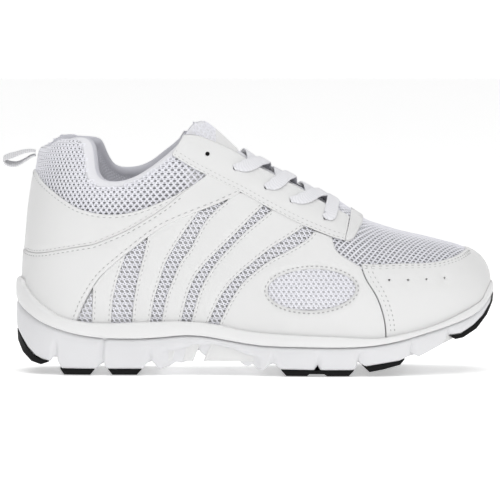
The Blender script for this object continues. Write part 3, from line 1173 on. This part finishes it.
for k in (1, 2, 3):
    for side, word, run in ((-1, "lateral", "upper"), (1, "medial", "lower")):
        made = lace("lace_%d_%s_braid" % (k, word), k, k + 1, side, run)
        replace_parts(made, "lace_run_%d_%s" % (k, word))
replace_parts(lace("lace_bar_braid", 4, 4, -1, "bar"), "lace_bar")

# Dark plugs deep in the eyelets
for side, word, flat in ((-1, "lateral", OUTER), (1, "medial", INNER)):
    for k, place in enumerate(EYELETS):
        ring = circle(place, 1.25, 16)
        panel("eyelet_%d_%s_depth" % (k + 1, word), flat, ring, -3.4, -0.6, DARK, slot="lining")


# ---------------------------------------------------------------- pull loop
LOOP_PATH = [(15, 127.9), (9, 129), (4, 128.3), (-1, 126.6), (-5.5, 125.2), (-7.2, 124), (-6, 122.2),
             (-2.5, 121), (1.5, 121.4), (5.5, 123.6), (9.5, 126), (15, 126.8)]
LOOP_WIDE, LOOP_THICK, LOOP_LEAN, LOOP_SEAM_X = 11.6, 1.2, 0.2, 11.5
line = curve_through(LOOP_PATH, 0.6)
line = line[line[:, 0] < LOOP_SEAM_X]
ahead = np.gradient(line, axis=0)
ahead /= np.linalg.norm(ahead, axis=1)[:, None]
out = np.stack([-ahead[:, 1], ahead[:, 0]], 1)
rows, places = [], []
reach = np.concatenate([[0], np.cumsum(np.linalg.norm(np.diff(line, axis=0), axis=1))])
for c, s in tape_section(24, (0.35, 0.7)):
    wide = LOOP_WIDE / 2 * c
    at = line + out * (LOOP_THICK / 2 * s)
    lean = LOOP_LEAN * np.clip((LOOP_SEAM_X - line[:, 0]) / 14, 0, 1)
    rows.append(np.stack([at[:, 0], np.full(len(line), wide), at[:, 1] + wide * lean], 1))
    places.append(np.stack([reach, np.full(len(line), wide)], 1))
loop = tape("pull_loop_webbing", rows, places, WEBBING, body="pull_loop", slot="webbing")
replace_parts(loop, "pull_loop")


# ---------------------------------------------------------------- footbed
FOOTBED_OFF, FOOTBED_BASE = -4.4, 2.2
turn = np.arange(240) * 2 * math.pi / 240
rings = []
for share, off in ((0.0, -1.0), (0.0, 0.0), (0.5, 0.25), (0.9, 0.0), (1.0, -0.6), (0.97, -2.0), (0.85, -6.0)):
    back, front = HEEL_X - FOOTBED_OFF - off, TOE_X + FOOTBED_OFF + off
    x = back + (front - back) * (1 - np.cos(turn)) / 2
    side = np.where(turn <= math.pi, -1.0, 1.0)
    low = along(BOARD_LINE, x) + FOOTBED_BASE
    z = low + (along(FOOTBED_TOP, x) - low) * share
    y = (half_width(x, z, FOOTBED_OFF, side) + off) * rounding((x - TOE_CURVE) / (front - TOE_CURVE), 8)
    rings.append(np.stack([x, along(SHIFT, x) + side * np.maximum(y, 0.0), z], 1))
footbed = closed_form("footbed_pad", rings, LINING, body="footbed", slot="footbed_foam",
                      weave=np.concatenate(rings)[:, :2])
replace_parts(footbed, "footbed")


# ---------------------------------------------------------------- CAD pieces that keep their shape
for name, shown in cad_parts.items():
    if name.startswith("tread"):
        look = RUBBER
    elif name.endswith("lining") or "_lining_" in name or name == "insole_board":
        look = LINING
    elif name in ("vamp_backing", "toe_puff"):
        look = UNDERLAY
    elif name.startswith("quarter_backing"):
        look = PALE_UNDERLAY
    elif name == "heel_counter":
        look = STIFFENER
    else:
        continue
    shown.data.materials.clear()
    shown.data.materials.append(look)


# ---------------------------------------------------------------- floor and light
FLOOR = material("floor", (0.93, 0.93, 0.93), 0.7, foam_look((0.925, 0.925, 0.925), (0.935, 0.935, 0.935)),
                 Emission_Color=(1.0, 1.0, 1.0, 1), Emission_Strength=0.44)
floor_mesh = bpy.data.meshes.new("floor")
reach = 3.0
corners = [(x * reach, y * reach, -0.0005) for x, y in ((-1, -1), (1, -1), (1, 1), (-1, 1))]
floor_mesh.from_pydata(corners, [], [(0, 1, 2, 3)])
floor_mesh.materials.append(FLOOR)
floor = bpy.data.objects.new("floor", floor_mesh)
bpy.context.scene.collection.objects.link(floor)

# A white backdrop glows behind the object, and the rest of the studio is dimmer
STUDIO_DIM, BACKDROP_BRIGHT = 0.42, 1.1
world = bpy.data.worlds.new("studio")
bpy.context.scene.world = world
world.use_nodes = True
sky = world.node_tree
direction = node(sky, "ShaderNodeTexCoord").outputs["Generated"]
behind = node(sky, "ShaderNodeSeparateXYZ", {"Vector": direction}).outputs["Y"]
glow = node(sky, "ShaderNodeMapRange", {"Value": behind, "From Min": 0.55, "From Max": 0.75,
                                        "To Min": STUDIO_DIM, "To Max": BACKDROP_BRIGHT})
sky.nodes["Background"].inputs["Color"].default_value = (1.0, 1.0, 1.0, 1)
sky.links.new(glow.outputs["Result"], sky.nodes["Background"].inputs["Strength"])
# Each lamp's name, place, size in metres and watts
LIGHTS = (
    ("key", (-0.1, -0.95, 1.3), (1.5, 1.0), 9.0),
    ("front", (0.7, -1.0, 0.4), (0.8, 0.8), 1.6),
    ("top", (0.0, 0.25, 1.6), (1.4, 1.0), 5.5),
)
for name, place, size, power in LIGHTS:
    lamp = bpy.data.lights.new(name, "AREA")
    lamp.shape = "RECTANGLE"
    lamp.size, lamp.size_y = size
    lamp.energy = power
    made = bpy.data.objects.new(name, lamp)
    made.location = place
    made.rotation_euler = (Vector((-0.02, 0, 0.06)) - made.location).to_track_quat("-Z", "Y").to_euler()
    bpy.context.scene.collection.objects.link(made)
bpy.context.scene.view_settings.view_transform = "Standard"
